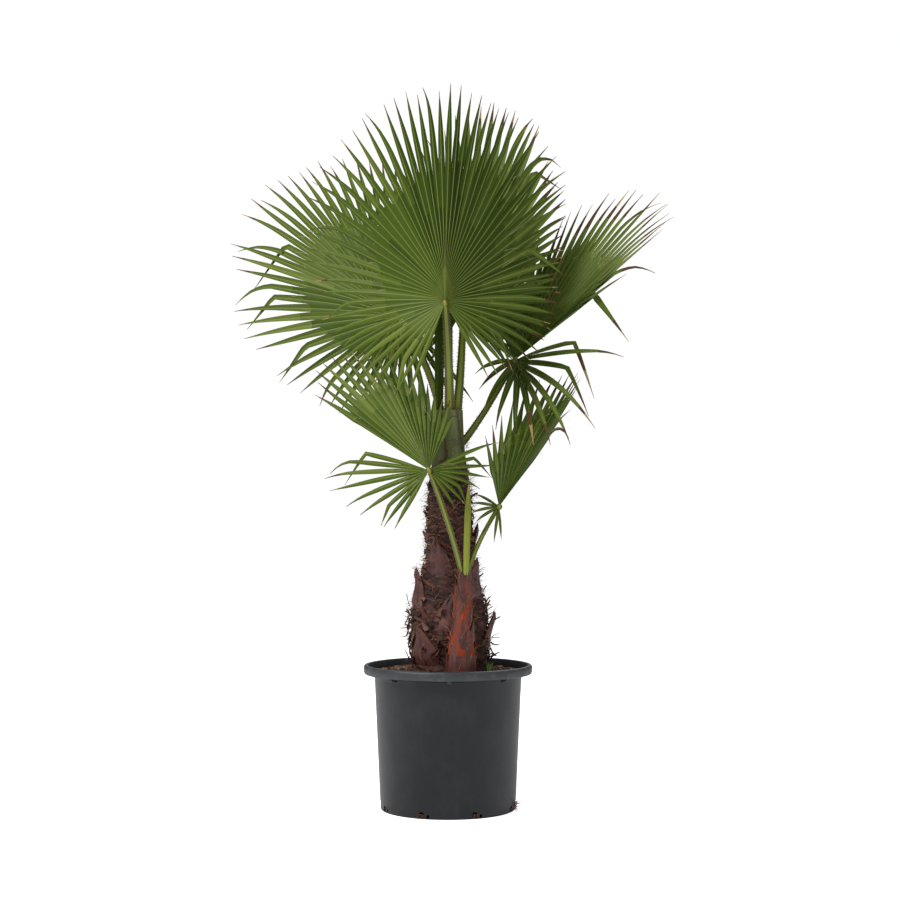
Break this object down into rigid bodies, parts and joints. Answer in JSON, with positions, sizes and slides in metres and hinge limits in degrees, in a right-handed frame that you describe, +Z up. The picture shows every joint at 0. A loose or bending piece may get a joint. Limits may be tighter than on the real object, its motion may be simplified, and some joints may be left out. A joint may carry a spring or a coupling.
{
  "type": "potted california fan palm",
  "caption": "Free-standing potted california fan palm with a booted trunk, a side shoot and fan-shaped fronds on long stalks, in a round nursery pot.",
  "frame": {"origin": "centre of the pot's flat underside, on the surface that it stands on", "axes": "+Z up along the trunk; -Y towards the front, where the side shoot stands; +X to the right as seen from the front"},
  "size_m": [1.0878, 0.8236, 1.7044],
  "materials": {
    "pot_plastic": "satin",
    "substrate": "matte",
    "trunk_fibre": "matte",
    "boot_skin": "matte",
    "shoot_skin": "matte",
    "sheath": "satin",
    "stalk": "satin",
    "leaf": "satin"
  },
  "bodies": {
    "root": {"pot": "pot_plastic", "soil": "substrate", "trunk": "trunk_fibre", "side_shoot": "shoot_skin", "crown_sheath": "sheath", "spear_leaf": "leaf", "cut_stalk": "stalk", "boot_1": "boot_skin", "boot_2": "boot_skin", "boot_3": "boot_skin", "boot_4": "boot_skin", "boot_5": "boot_skin", "boot_6": "boot_skin", "boot_7": "boot_skin", "boot_8": "boot_skin", "boot_9": "boot_skin", "boot_10": "boot_skin", "front_frond_stalk": "stalk", "front_frond_blade": "leaf", "left_frond_stalk": "stalk", "left_frond_blade": "leaf", "back_right_frond_stalk": "stalk", "back_right_frond_blade": "leaf", "right_frond_stalk": "stalk", "right_frond_blade": "leaf", "right_frond_skirt": "leaf", "back_frond_stalk": "stalk", "back_frond_blade": "leaf", "shoot_left_frond_stalk": "stalk", "shoot_left_frond_blade": "leaf", "shoot_left_frond_left_skirt": "leaf", "shoot_left_frond_right_skirt": "leaf", "shoot_right_frond_stalk": "stalk", "shoot_right_frond_blade": "leaf", "shoot_right_frond_skirt": "leaf"}
  },
  "joints": []
}
